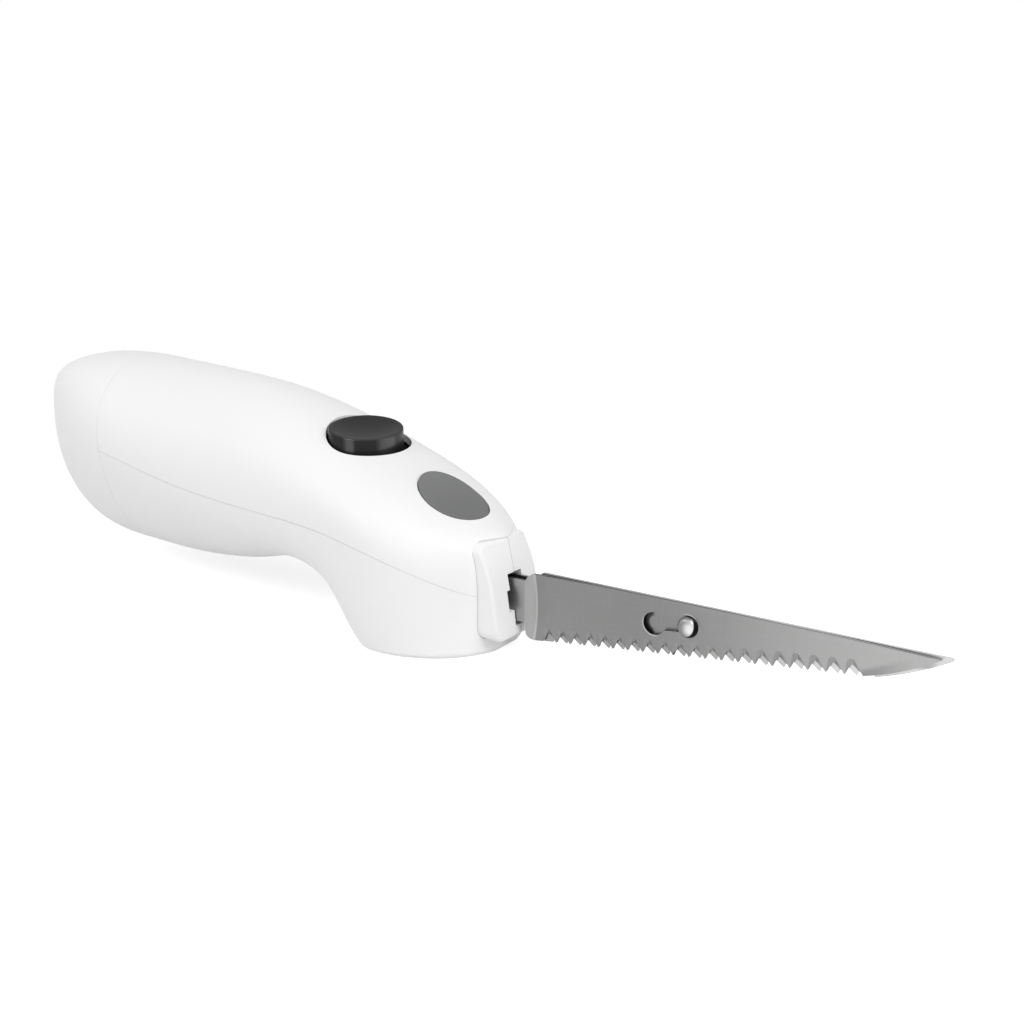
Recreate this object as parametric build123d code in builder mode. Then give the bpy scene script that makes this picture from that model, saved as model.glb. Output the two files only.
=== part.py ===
import functools
import math
import os

from build123d import *

# Cordless electric knife, in millimetres.
# X runs forward along the blades, Y to the left, Z up. The origin lies under the flat foot.
# The blades, drivers and catches are drawn level with each other and then moved apart by the
# rest lead, the left set forward and the right set back. The inner pieces follow the handle's
# length and height by the share that these have of the drawn ones.

# Housing outline
handle_length = 203.0
handle_width = 65.0
crown_height = 84.5
length_share = handle_length / 203.0
height_share = crown_height / 84.5
keel_start_x = -20.3
keel_length = 41.5
keel_tip_angle = 80.0
cavity_tip_angle = 64.0
wall = 2.5
tail_wall = 3.8
tail_flat = 0.66
tail_z = 58.4 * height_share
foot_thickness = 3.0
foot_round = 2.0
seam_gap = 0.14
dome_fullness_tail = 0.90
dome_fullness_rear = 0.55
dome_fullness_front = 0.70
belly_fullness_rear = 0.56
belly_fullness_front = 0.93
fullness_tail_x = -140.0 * length_share
fullness_rear_x = -95.0 * length_share
crown_tail_x = -167.8 * length_share
crown_tail_bend = 2.02
crown_tail_blunt = 2.55
belly_tail_x = -142.4 * length_share
belly_tail_bend = 2.79
belly_tail_blunt = 2.36
side_tail_x = -138.5 * length_share
side_tail_bend = 1.96
side_tail_blunt = 1.92

# Rear cap
cap_seam_x = -144.0 * length_share
cap_seam_z = 50.0 * height_share
cap_seam_tilt = 8.0
collar_length = 7.0
collar_root = 4.0
collar_thickness = 1.6
seat_clearance = 0.2

# Nose guide
nose_sink = 4.57
nose_width = 26.0
nose_bottom_z = 5.5 * height_share
nose_top_z = 37.6 * height_share
nose_depth = 10.2
nose_corner = 4.0
nose_edge_round = 1.2
nose_seam = 0.2
nose_clearance = 0.15
slot_bottom_z = 9.2 * height_share
slot_lower_z = 14.4 * height_share
slot_upper_z = 21.3 * height_share
slot_top_z = 26.4 * height_share
slot_lower_width = 5.6
slot_middle_width = 10.8
slot_upper_width = 7.6

# Thumb switch, which slides forward in an oval hole
switch_x = -38.6 * length_share
switch_z = 67.2 * height_share
switch_slope = 0.28675 * height_share / length_share
switch_length = 19.6
switch_width = 32.4
switch_rim = 1.2
switch_dish = 1.8
switch_skirt = 8.0
switch_plate = 1.4
switch_plate_length = 33.0
switch_plate_offset = 1.0
switch_plate_width = 37.2
switch_hole_x = -37.4 * length_share
switch_hole_length = 24.2
switch_hole_width = 34.8
switch_tab_offset = -0.5
switch_tab_depth = 8.6
switch_tab_width = 10.0
switch_tab_thickness = 1.5
switch_rail_y = 9.0
switch_rail_thickness = 2.0
switch_rail_length = 24.0
slide_clearance = 0.3

# Release button, which is pressed straight down
release_x = -1.2
release_length = 23.0
release_width = 24.0
release_gap = 0.3
release_proud = 0.3
release_tilt = 4.0
release_rim = 0.4
release_sink = 0.4
release_thickness = 4.0
release_lip = 1.6
release_leg_x = 3.4
release_leg_y = 4.7
release_leg_width = 2.0
release_leg_thickness = 1.6
release_leg_gap = 1.2
release_spring_x = -5.0
release_spring_y = 8.5
release_spring_diameter = 5.0
release_spring_wall = 0.6
release_spring_length = 5.0 * height_share

# Blades
blade_thickness = 1.0
blade_gap = 0.3
spine_z = 27.9 * height_share
spine_drop = 0.6
spine_bow = 0.2
first_tooth = 8.1
first_tooth_z = 6.0 * height_share
tooth_line_angle = 7.1
tooth_pitch = 5.18
tooth_count = 20
gullet_depth = 2.8
hollow_height = 4.85
edge_thickness = 0.3
right_tip_reach = 117.4
left_tip_reach = 118.2
left_tip_round = 0.5
tip_bow = 0.8
blade_heel = 17.4
heel_round = 3.0
joggle_length = 3.2
heel_overhang = 3.0
tang_offset = 1.9
tang_height = 14.2 * height_share
tang_end_x = 6.5
keyhole_rear = 34.5
keyhole_rear_z = 19.8 * height_share
keyhole_rear_radius = 3.6
keyhole_front = 45.5
keyhole_front_z = 21.2 * height_share
keyhole_front_radius = 3.5
keyhole_waist = 4.6
keyhole_waist_lift = 0.4
stud_place = 42.7
stud_z = 21.2 * height_share
stud_shank = 3.0
stud_head = 6.2
stud_head_height = 1.6
stud_foot = 4.6
stud_foot_height = 0.8
stud_clearance = 0.3

# Drive
drive_z = 18.0 * height_share
wheel_x = -9.0
eccentricity = 2.0
rest_lead = 1.5
gear_module = 1.0 * height_share
wheel_teeth = 22
wheel_width = 6.0
tooth_tip_width = 0.3 * height_share
tooth_root_width = 1.9 * height_share
tooth_height = 1.9 * height_share
wheel_addendum = 0.8 * height_share
worm_pitch_radius = 5.0 * height_share
worm_core_radius = 4.9 * height_share
worm_thread_depth = 0.9 * height_share
worm_length = 14.0
shaft_diameter = 3.0
axle_diameter = 4.0
running_clearance = 0.05
cam_radius = 5.0
cam_slack = 0.65
cam_reach = 8.2

# Drivers that carry the blades, with their catches
driver_inner_y = 4.2
driver_thickness = 3.6
driver_web = 3.6
driver_bar = 4.0
driver_clearance = 0.4
driver_arm_top_z = 23.5 * height_share
socket_rear_x = 5.2
socket_front_x = 13.5
socket_inner_y = 0.6
socket_wall = 1.6
tang_clearance = 0.1
catch_pivot_x = 8.5
catch_rise = 0.2
catch_pin_diameter = 1.6
catch_inner_y = 3.3
catch_outer_y = 5.5
catch_height = 2.0
catch_arm_end_x = 0.6
catch_front_x = 9.0
catch_hook_x = 12.25
catch_hook_length = 1.5
catch_bite = 0.8
catch_gap = 0.3
catch_swing = 1.2
ear_inner_y = 6.0
ear_length = 3.2
ear_rise = 1.6
socket_step_x = 9.5

# Gear frame
frame_inner_y = 10.0
frame_plate = 2.4
frame_front_x = 8.0
frame_rear_x = -23.5
frame_top_z = 38.0 * height_share
frame_shoulder_z = 33.0 * height_share
frame_heel_z = 16.0 * height_share
frame_heel_cut = 8.5
frame_fit = 0.35
floor_clearance = 0.15
bulkhead_thickness = 2.5
bush_length = 3.5
bush_diameter = 5.0
bush_plate_bottom_z = 30.5 * height_share
bush_plate_top_z = 36.9 * height_share
bush_plate_width = 9.0
shelf_top_z = 48.2 * height_share
shelf_thickness = 1.6
shelf_length = 32.0
shelf_width = 28.0
rail_height = 2.0
rail_width = 3.4
spring_seat_width = 6.0
spring_seat_thickness = 1.5

# Motor
motor_diameter = 24.4 * height_share
motor_height = 19.0 * height_share
motor_length = 31.0
motor_cap_length = 5.0
motor_cap_step = 0.6
motor_boss_diameter = 8.0
motor_bore_depth = 8.0
terminal_length = 4.0
terminal_width = 2.8
terminal_thickness = 0.5
terminal_offset = 7.0

# Battery and electrics
cell_diameter = 22.4 * height_share
cell_length = 42.8 * length_share
cell_spacing = 23.0 * height_share
cell_slack = 0.2
battery_centre_z = 48.0 * height_share
battery_front_x = -80.0 * length_share
battery_plate = 2.0
tie_rod_diameter = 3.6
board_width = 30.0
board_height = 34.0 * height_share
board_thickness = 1.6
standoff_length = 4.4
standoff_diameter = 4.0
chip_size = 9.0
chip_height = 4.0
micro_switch_length = 12.8
micro_switch_width = 6.4
micro_switch_height = 4.6
plunger_diameter = 2.0
plunger_length = 0.6
jack_z = 58.4 * height_share
jack_diameter = 7.6
jack_length = 12.0
jack_flange = 10.0
jack_flange_thickness = 1.5
jack_bore = 5.5
jack_bore_depth = 10.0
jack_pin = 2.0
jack_clearance = 0.1

# Housing screws
screw_diameter = 3.0
screw_head_diameter = 5.6
screw_head_height = 2.0
screw_clearance = 0.05
screw_reach = 8.0
screw_seat_depth = 12.0
lower_post_diameter = 9.0
upper_post_diameter = 7.0
handle_post_x = -71.5 * length_share
keel_post_x = -8.0
keel_post_y = 20.0

os.makedirs("parts", exist_ok=True)

tail_x = -handle_length
tail_end_x = tail_x + tail_flat
prow_x = keel_start_x + keel_length * math.sin(math.radians(keel_tip_angle))
cavity_tail_x = tail_end_x + tail_wall
cavity_prow_x = keel_start_x + keel_length * math.sin(math.radians(cavity_tip_angle))

# Places that follow from the end of the keel, the nose guide and the blades' heel
nose_back_x = prow_x - nose_sink
nose_foot_x = nose_back_x + nose_depth
blade_heel_x = nose_back_x + blade_heel
first_tooth_x = blade_heel_x + first_tooth
keyhole_rear_x = first_tooth_x + keyhole_rear
keyhole_front_x = first_tooth_x + keyhole_front
stud_x = first_tooth_x + stud_place

# Heights of the catches above the sockets
socket_half_height = tang_height / 2 + tang_clearance + socket_wall
socket_top_z = drive_z + socket_half_height
socket_bottom_z = drive_z - socket_half_height
catch_pivot_z = socket_top_z + catch_rise + catch_height / 2
catch_top_z = catch_pivot_z + catch_height / 2
ear_top_z = catch_pivot_z + ear_rise
release_leg_tip_z = catch_top_z + release_leg_gap


# Guide curves of the housing, as shares of the handle's length and height
def guide(points):
    with BuildLine() as line:
        Spline(*[(along * handle_length, up * crown_height) for along, up in points])
    return line.edges()[0]


crown_curve = guide(
    [
        (-0.87, 0.991), (-0.788, 1.0), (-0.591, 0.9775), (-0.374, 0.921), (-0.187, 0.774),
        (-0.01, 0.575), (0.118, 0.427),
    ]
)
belly_curve = guide(
    [
        (-0.75, 0.128), (-0.66, 0.1225), (-0.591, 0.122), (-0.394, 0.1775), (-0.256, 0.247),
        (-0.1675, 0.181), (-0.0985, -0.057), (-0.0394, -0.141), (0.118, -0.15),
    ]
)
parting_curve = guide(
    [
        (-1.0, 0.711), (-0.941, 0.669), (-0.887, 0.657), (-0.70, 0.61), (-0.542, 0.5385),
        (-0.32, 0.485), (-0.131, 0.444), (-0.0468, 0.394), (0.0207, 0.33), (0.059, 0.282),
        (0.118, 0.19),
    ]
)

tail_shares = [
    0.006, 0.010, 0.016, 0.025, 0.037, 0.054, 0.076, 0.103, 0.138, 0.18, 0.23,
    0.29, 0.36, 0.44, 0.537, 0.626, 0.695, 0.744, 0.788, 0.828, 0.862,
]
prow_angles = [0, 9, 20, 32, 44, 56, 66, 74]
stations = [tail_x + share * handle_length for share in tail_shares]
stations += [keel_start_x + keel_length * math.sin(math.radians(angle)) for angle in prow_angles]


@functools.lru_cache(maxsize=None)
def height(curve, x):
    low, high = 0.0, 1.0
    for step in range(36):
        middle = (low + high) / 2
        if curve.position_at(middle, position_mode=PositionMode.PARAMETER).X < x:
            low = middle
        else:
            high = middle
    return curve.position_at(low, position_mode=PositionMode.PARAMETER).Y


# Share of the full size that is left where the tail rounds off
def tail_round(x, start_x, bend, blunt):
    along = min(max((start_x - x) / (start_x - tail_x), 0.0), 1.0)
    return (1 - along**bend) ** (1 / blunt)


def crown_z(x):
    share = tail_round(x, crown_tail_x, crown_tail_bend, crown_tail_blunt)
    return tail_z + (height(crown_curve, max(x, crown_tail_x)) - tail_z) * share


def belly_z(x):
    share = tail_round(x, belly_tail_x, belly_tail_bend, belly_tail_blunt)
    return tail_z + (height(belly_curve, max(x, belly_tail_x)) - tail_z) * share


def parting_z(x):
    return height(parting_curve, x)


def half_width(x):
    if x <= keel_start_x:
        return handle_width / 2 * tail_round(x, side_tail_x, side_tail_bend, side_tail_blunt)
    return handle_width / 2 * math.sqrt(1 - ((x - keel_start_x) / keel_length) ** 2)


def blend(x, first_x, last_x, first, last):
    share = (x - first_x) / (last_x - first_x)
    return first + min(max(share, 0.0), 1.0) * (last - first)


def dome_fullness(x):
    if x < fullness_tail_x:
        return blend(x, tail_x, fullness_tail_x, dome_fullness_tail, dome_fullness_rear)
    return blend(x, fullness_rear_x, keel_start_x, dome_fullness_rear, dome_fullness_front)


def belly_fullness(x):
    return blend(x, fullness_rear_x, keel_start_x, belly_fullness_rear, belly_fullness_front)


def spread(first, last):
    return [first] + [x for x in stations if first + 0.8 < x < last - 0.4] + [last]


# Upper (side 1) or lower (side -1) half of the housing, shrunk by inset. Its curve starts at
# lift from the parting surface, and a straight skirt can run back through that surface.
def half_form(side, inset, lift=0.0, skirt=0.0, first=tail_end_x, last=prow_x):
    edge_height = crown_z if side > 0 else belly_z
    with BuildPart() as form:
        for x in spread(first, last):
            half = half_width(x) - inset
            split_z = parting_z(x) + side * lift
            edge_z = edge_height(x) - side * inset
            full = dome_fullness(x) if side > 0 else belly_fullness(x)
            bulge_z = split_z + full * (edge_z - split_z)
            base_z = split_z - side * skirt
            with BuildSketch(Plane.YZ.offset(x)):
                with BuildLine():
                    Bezier((half, split_z), (half, bulge_z), (full * half, edge_z), (0, edge_z))
                    Bezier((0, edge_z), (-full * half, edge_z), (-half, bulge_z), (-half, split_z))
                    if skirt:
                        Polyline((-half, split_z), (-half, base_z), (half, base_z), (half, split_z))
                    else:
                        Line((-half, split_z), (half, split_z))
                make_face()
        loft()
    return form.part


# Whole cross section between two places, the tighter of the two
def bulkhead(first, last, inset):
    half = min(half_width(first), half_width(last)) - inset
    split_z = (parting_z(first) + parting_z(last)) / 2
    top_z = min(crown_z(first), crown_z(last)) - inset
    bottom_z = max(belly_z(first), belly_z(last)) + inset
    dome = min(dome_fullness(first), dome_fullness(last))
    belly = belly_fullness(first)
    shoulder_z = split_z + dome * (top_z - split_z)
    bulge_z = split_z + belly * (bottom_z - split_z)
    with BuildPart() as plate:
        with BuildSketch(Plane.YZ.offset(first)):
            with BuildLine():
                Bezier((half, split_z), (half, shoulder_z), (dome * half, top_z), (0, top_z))
                Bezier((0, top_z), (-dome * half, top_z), (-half, shoulder_z), (-half, split_z))
                Bezier((-half, split_z), (-half, bulge_z), (-belly * half, bottom_z), (0, bottom_z))
                Bezier((0, bottom_z), (belly * half, bottom_z), (half, bulge_z), (half, split_z))
            make_face()
        extrude(amount=last - first)
    return plate.part


# Closed form of the whole housing, shrunk by inset
def full_form(inset, first=tail_end_x, last=prow_x):
    with BuildPart() as form:
        for x in spread(first, last):
            half = half_width(x) - inset
            split_z = parting_z(x)
            top_z = crown_z(x) - inset
            bottom_z = belly_z(x) + inset
            dome = dome_fullness(x)
            belly = belly_fullness(x)
            shoulder_z = split_z + dome * (top_z - split_z)
            bulge_z = split_z + belly * (bottom_z - split_z)
            with BuildSketch(Plane.YZ.offset(x)):
                with BuildLine():
                    Bezier((half, split_z), (half, shoulder_z), (dome * half, top_z), (0, top_z))
                    Bezier((0, top_z), (-dome * half, top_z), (-half, shoulder_z), (-half, split_z))
                    Bezier((-half, split_z), (-half, bulge_z), (-belly * half, bottom_z), (0, bottom_z))
                    Bezier((0, bottom_z), (belly * half, bottom_z), (half, bulge_z), (half, split_z))
                make_face()
        loft()
    return form.part


def save(builder, name):
    builder.part.label = name
    export_step(builder.part, f"parts/{name}.step")


seam_angle = math.radians(cap_seam_tilt)
cap_seam = Plane(
    origin=(cap_seam_x, 0, cap_seam_z),
    x_dir=(0, 1, 0),
    z_dir=(math.cos(seam_angle), 0, math.sin(seam_angle)),
)
cavity_lift = 1.0
cavity_skirt = 3.0
post_places = [(handle_post_x, 0.0), (keel_post_x, -keel_post_y), (keel_post_x, keel_post_y)]
posts = [(x, y, parting_z(x)) for x, y in post_places]
screw_radius = screw_diameter / 2 + screw_clearance


# Front view of the nose guide, grown by margin
def nose_block(margin, first, last):
    with BuildPart() as block:
        with BuildSketch(Plane.YZ.offset(first)) as front:
            with Locations((0, (nose_bottom_z + nose_top_z) / 2)):
                Rectangle(nose_width + 2 * margin, nose_top_z - nose_bottom_z + 2 * margin)
            fillet(front.vertices().group_by(Axis.Z)[-1], nose_corner + margin)
        extrude(amount=last - first)
    return block.part


nose_pocket = nose_block(nose_clearance, nose_back_x - nose_clearance, nose_foot_x + wall)

# Screw posts that hang from the upper shell and stand on the lower shell
with BuildPart() as upper_posts:
    for x, y, split_z in posts:
        with BuildSketch(Plane.XY.offset(split_z + seam_gap)):
            with Locations((x, y)):
                Circle(upper_post_diameter / 2)
        extrude(amount=crown_height)
    add(half_form(1, wall / 2), mode=Mode.INTERSECT)

with BuildPart() as lower_posts:
    for x, y, split_z in posts:
        with BuildSketch(Plane.XY.offset(split_z - seam_gap)):
            with Locations((x, y)):
                Circle(lower_post_diameter / 2)
        extrude(amount=-split_z + foot_thickness / 2)
    add(half_form(-1, wall / 2), mode=Mode.INTERSECT)

# Upper shell with the holes for the two buttons
with BuildPart() as upper_shell:
    add(half_form(1, 0, lift=seam_gap / 2))
    add(
        half_form(1, wall, cavity_lift, cavity_skirt, cavity_tail_x, cavity_prow_x),
        mode=Mode.SUBTRACT,
    )
    add(upper_posts.part)
    for x, y, split_z in posts:
        with BuildSketch(Plane.XY.offset(split_z)):
            with Locations((x, y)):
                Circle(screw_radius)
        extrude(amount=screw_reach + 1, mode=Mode.SUBTRACT)
    split(bisect_by=cap_seam.offset(seam_gap / 2), keep=Keep.TOP)
    with BuildSketch(Plane.XY.offset(cap_seam_z)):
        with Locations((switch_hole_x, 0)):
            Ellipse(switch_hole_length / 2, switch_hole_width / 2)
    extrude(amount=crown_height, mode=Mode.SUBTRACT)
    with BuildSketch(Plane.XY.offset(frame_top_z)):
        with Locations((release_x, 0)):
            Ellipse(release_length / 2 + release_gap, release_width / 2 + release_gap)
    extrude(amount=crown_height, mode=Mode.SUBTRACT)
    add(nose_pocket, mode=Mode.SUBTRACT)

# Lower shell with its keel and flat foot
with BuildPart() as lower_cavity:
    add(half_form(-1, wall, cavity_lift, cavity_skirt, cavity_tail_x, cavity_prow_x))
    split(bisect_by=Plane.XY.offset(foot_thickness), keep=Keep.TOP)

with BuildPart() as lower_shell:
    add(half_form(-1, 0, lift=seam_gap / 2))
    split(bisect_by=Plane.XY, keep=Keep.TOP)
    fillet(lower_shell.faces().sort_by(Axis.Z)[0].edges(), foot_round)
    add(lower_cavity.part, mode=Mode.SUBTRACT)
    add(lower_posts.part)
    for x, y, split_z in posts:
        with BuildSketch(Plane.XY.offset(split_z)):
            with Locations((x, y)):
                Circle(screw_radius)
        extrude(amount=-split_z, mode=Mode.SUBTRACT)
        with BuildSketch(Plane.XY.offset(split_z - screw_seat_depth)):
            with Locations((x, y)):
                Circle(screw_head_diameter / 2 + seat_clearance)
        extrude(amount=-split_z, mode=Mode.SUBTRACT)
    split(bisect_by=cap_seam.offset(seam_gap / 2), keep=Keep.TOP)
    add(nose_pocket, mode=Mode.SUBTRACT)

# Rear cap, a cup with a collar that slips into the shells
collar_inset = wall + seat_clearance
with BuildPart() as collar_root_ring:
    add(full_form(wall / 2))
    add(full_form(collar_inset + collar_thickness, cavity_tail_x, cavity_prow_x), mode=Mode.SUBTRACT)
    split(bisect_by=cap_seam.offset(-collar_root), keep=Keep.TOP)
    split(bisect_by=cap_seam.offset(-seam_gap / 2), keep=Keep.BOTTOM)

with BuildPart() as collar_ring:
    add(full_form(collar_inset, cavity_tail_x, cavity_prow_x))
    add(full_form(collar_inset + collar_thickness, cavity_tail_x, cavity_prow_x), mode=Mode.SUBTRACT)
    split(bisect_by=cap_seam.offset(-collar_root), keep=Keep.TOP)
    split(bisect_by=cap_seam.offset(collar_length), keep=Keep.BOTTOM)

with BuildPart() as rear_cap:
    add(full_form(0))
    add(full_form(wall, cavity_tail_x, cavity_prow_x), mode=Mode.SUBTRACT)
    split(bisect_by=cap_seam.offset(-seam_gap / 2), keep=Keep.BOTTOM)
    add(collar_root_ring.part)
    add(collar_ring.part)
    with BuildSketch(Plane.YZ.offset(tail_end_x - 1)):
        with Locations((0, jack_z)):
            Circle(jack_diameter / 2 + jack_clearance)
    extrude(amount=tail_wall + 2, mode=Mode.SUBTRACT)

save(upper_shell, "upper_shell")
save(lower_shell, "lower_shell")
save(rear_cap, "rear_cap")

# Raked front of the nose guide, by height: its reach in the middle and at the sides
nose_levels = [
    (0.10, 10.2, 9.2), (0.253, 9.6, 8.9), (0.407, 8.9, 8.4), (0.56, 8.0, 7.6),
    (0.713, 6.9, 6.2), (0.867, 5.6, 3.6), (1.02, 4.5, 1.0),
]
with BuildPart() as nose_front_form:
    for share, middle, side in nose_levels:
        half = nose_width / 2 + 1
        back = nose_back_x - wall
        with BuildSketch(Plane.XY.offset(share * nose_top_z)):
            with BuildLine():
                ThreePointArc(
                    (nose_back_x + side, -half), (nose_back_x + middle, 0), (nose_back_x + side, half)
                )
                Polyline(
                    (nose_back_x + side, half), (back, half), (back, -half), (nose_back_x + side, -half)
                )
            make_face()
    loft()
nose_front = nose_front_form.part

# Nose guide in two halves with a stepped slot for the blades
with BuildPart() as nose_guide:
    add(nose_block(0, nose_back_x, nose_foot_x + wall))
    add(nose_front, mode=Mode.INTERSECT)
    front_edges = nose_guide.edges().filter_by(
        lambda edge: edge.center().X > nose_back_x + 2
        and abs(edge.center().Y) > nose_width / 2 - nose_corner
        and edge.center().Z > nose_bottom_z + 1
    )
    fillet(front_edges, nose_edge_round)
    for low_z, high_z, width in (
        (slot_bottom_z, slot_lower_z, slot_lower_width),
        (slot_lower_z, slot_upper_z, slot_middle_width),
        (slot_upper_z, slot_top_z, slot_upper_width),
    ):
        with BuildSketch(Plane.YZ.offset(nose_back_x - 1)):
            with Locations((0, (low_z + high_z) / 2)):
                Rectangle(width, high_z - low_z)
        extrude(amount=nose_foot_x, mode=Mode.SUBTRACT)

with BuildPart() as nose_right:
    add(nose_guide.part)
    split(bisect_by=Plane.XZ.offset(nose_seam / 2), keep=Keep.TOP)

with BuildPart() as nose_left:
    add(nose_guide.part)
    split(bisect_by=Plane.XZ.offset(-nose_seam / 2), keep=Keep.BOTTOM)

save(nose_right, "nose_right")
save(nose_left, "nose_left")

# Thumb switch: dished button, covering plate below the shell, and a tab for the micro switch
tilt = math.atan(switch_slope)
switch_face = Plane(
    origin=(switch_x, 0, switch_z),
    x_dir=(math.cos(tilt), 0, -math.sin(tilt)),
    z_dir=(math.sin(tilt), 0, math.cos(tilt)),
)
dish_half_width = switch_width / 2 - switch_rim
dish_radius = (dish_half_width**2 + switch_dish**2) / (2 * switch_dish)
dish_squeeze = (switch_length / 2 - switch_rim) / dish_half_width
dish_form = scale(Sphere(dish_radius), by=(dish_squeeze, 1, 1))

with BuildPart() as thumb_switch:
    with BuildSketch(switch_face):
        Ellipse(switch_length / 2, switch_width / 2)
    extrude(amount=(switch_skirt + switch_plate / 2) / math.cos(tilt), dir=(0, 0, -1))
    rim_edge = thumb_switch.edges().sort_by(Axis(switch_face.origin, switch_face.z_dir))[-1]
    fillet(rim_edge, switch_rim / 3)
    add(switch_face.offset(dish_radius - switch_dish).location * dish_form, mode=Mode.SUBTRACT)
    with BuildSketch(switch_face.offset(-switch_skirt)):
        with Locations((switch_plate_offset, 0)):
            Ellipse(switch_plate_length / 2, switch_plate_width / 2)
    extrude(amount=-switch_plate)
    with BuildSketch(switch_face.offset(-switch_skirt - switch_plate)):
        with Locations((switch_tab_offset, 0)):
            Rectangle(switch_tab_thickness, switch_tab_width)
    extrude(amount=-switch_tab_depth)

save(thumb_switch, "thumb_switch")

# Release button: a slice of the dome with a lip under the shell, two legs and two spring stubs
release_rear_x = release_x - 2.5 * release_length
release_front_x = stations[-1]
lip_top = wall + release_sink
lip_bottom = release_sink + release_thickness
spring_top_z = frame_top_z + release_spring_length

with BuildPart() as release_lip_ring:
    with BuildSketch(Plane.XY.offset(frame_top_z - 8)):
        with Locations((release_x, 0)):
            Ellipse(release_length / 2 + release_lip, release_width / 2 + release_lip)
    extrude(amount=crown_height)
    add(half_form(1, lip_top, first=release_rear_x, last=release_front_x), mode=Mode.INTERSECT)

with BuildPart() as release_stems:
    with BuildSketch(Plane.XY.offset(release_leg_tip_z)):
        with Locations((release_leg_x, -release_leg_y), (release_leg_x, release_leg_y)):
            Rectangle(release_leg_thickness, release_leg_width)
    extrude(amount=crown_height)
    with BuildSketch(Plane.XY.offset(spring_top_z)):
        with Locations((release_spring_x, -release_spring_y), (release_spring_x, release_spring_y)):
            Circle(release_spring_diameter / 2)
    extrude(amount=crown_height)
    add(half_form(1, wall, first=release_rear_x, last=release_front_x), mode=Mode.INTERSECT)

release_hinge = Axis((release_x, 0, crown_z(release_x)), (0, 1, 0))
release_face = half_form(1, -release_proud, first=release_rear_x, last=release_front_x)

with BuildPart() as release_button:
    with BuildSketch(Plane.XY.offset(frame_top_z - 8)):
        with Locations((release_x, 0)):
            Ellipse(release_length / 2, release_width / 2)
    extrude(amount=crown_height)
    add(release_face.rotate(release_hinge, release_tilt), mode=Mode.INTERSECT)
    rim_edges = release_button.edges().filter_by(
        lambda edge: abs(edge.center().Y) > release_width / 4 and edge.center().Z > frame_top_z
    )
    fillet(rim_edges, release_rim)
    add(release_lip_ring.part)
    add(
        half_form(1, lip_bottom, skirt=release_length, first=release_rear_x, last=release_front_x),
        mode=Mode.SUBTRACT,
    )
    add(release_stems.part)

save(release_button, "release_button")

with BuildPart() as release_springs:
    with BuildSketch(Plane.XY.offset(frame_top_z)):
        with Locations((release_spring_x, -release_spring_y), (release_spring_x, release_spring_y)):
            Circle(release_spring_diameter / 2)
            Circle(release_spring_diameter / 2 - release_spring_wall, mode=Mode.SUBTRACT)
    extrude(amount=release_spring_length)

save(release_springs, "release_springs")

# Blades, drawn on the right side. The side view gives the outline and the plan view the joggle.
tooth_rise = math.radians(tooth_line_angle)


def along_teeth(distance, rise=0.0):
    x = first_tooth_x + distance * math.cos(tooth_rise) - rise * math.sin(tooth_rise)
    z = first_tooth_z + distance * math.sin(tooth_rise) + rise * math.cos(tooth_rise)
    return x, z


blade_inner_y = blade_gap / 2
blade_outer_y = blade_inner_y + blade_thickness
tang_inner_y = tang_offset - blade_thickness / 2
tang_outer_y = tang_offset + blade_thickness / 2
joggle_rear_x = blade_heel_x - joggle_length
band_rear_x = blade_heel_x - heel_overhang
band_bottom_z = first_tooth_z + (band_rear_x - first_tooth_x) * math.tan(tooth_rise)
last_tooth = along_teeth((tooth_count - 1) * tooth_pitch)
tang_top_z = drive_z + tang_height / 2
tang_bottom_z = drive_z - tang_height / 2

# Blade without teeth. Its spine is straight, or bowed with its ends dropped.
def blade_blank(tip_reach, tip_round, drop, bow):
    tip = (first_tooth_x + tip_reach, spine_z - drop)
    rear_top = (band_rear_x, spine_z - drop)
    tip_middle = (
        (last_tooth[0] + tip[0]) / 2 + tip_bow * 0.4,
        (last_tooth[1] + tip[1]) / 2 - tip_bow * 0.9,
    )
    with BuildPart() as blank:
        with BuildSketch(Plane.XZ) as outline:
            with BuildLine():
                Line(rear_top, (band_rear_x, band_bottom_z))
                Line((band_rear_x, band_bottom_z), last_tooth)
                ThreePointArc(last_tooth, tip_middle, tip)
                if bow:
                    ThreePointArc(tip, ((tip[0] + rear_top[0]) / 2, spine_z + bow), rear_top)
                else:
                    Line(tip, rear_top)
            make_face()
            if tip_round:
                fillet(outline.vertices().sort_by(Axis.X)[-1], tip_round)
            fillet(outline.vertices().sort_by(Axis.X)[:2], heel_round)
            with Locations(((tang_end_x + blade_heel_x) / 2, drive_z)):
                Rectangle(blade_heel_x - tang_end_x, tang_height)
            with Locations((catch_hook_x + (catch_swing - catch_gap) / 2, tang_top_z)):
                Rectangle(
                    catch_hook_length + catch_gap + catch_swing,
                    2 * (catch_bite + catch_gap),
                    mode=Mode.SUBTRACT,
                )
        extrude(amount=tang_outer_y + 1)
        with BuildSketch(Plane.XY.offset(-spine_z)):
            with BuildLine():
                Polyline(
                    (tang_end_x - 1, -tang_inner_y),
                    (joggle_rear_x, -tang_inner_y),
                    (blade_heel_x, -blade_inner_y),
                    (tip[0] + 1, -blade_inner_y),
                    (tip[0] + 1, -blade_outer_y),
                    (blade_heel_x, -blade_outer_y),
                    (joggle_rear_x, -tang_outer_y),
                    (tang_end_x - 1, -tang_outer_y),
                    close=True,
                )
            make_face()
        extrude(amount=3 * spine_z, mode=Mode.INTERSECT)
    return blank.part


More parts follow.
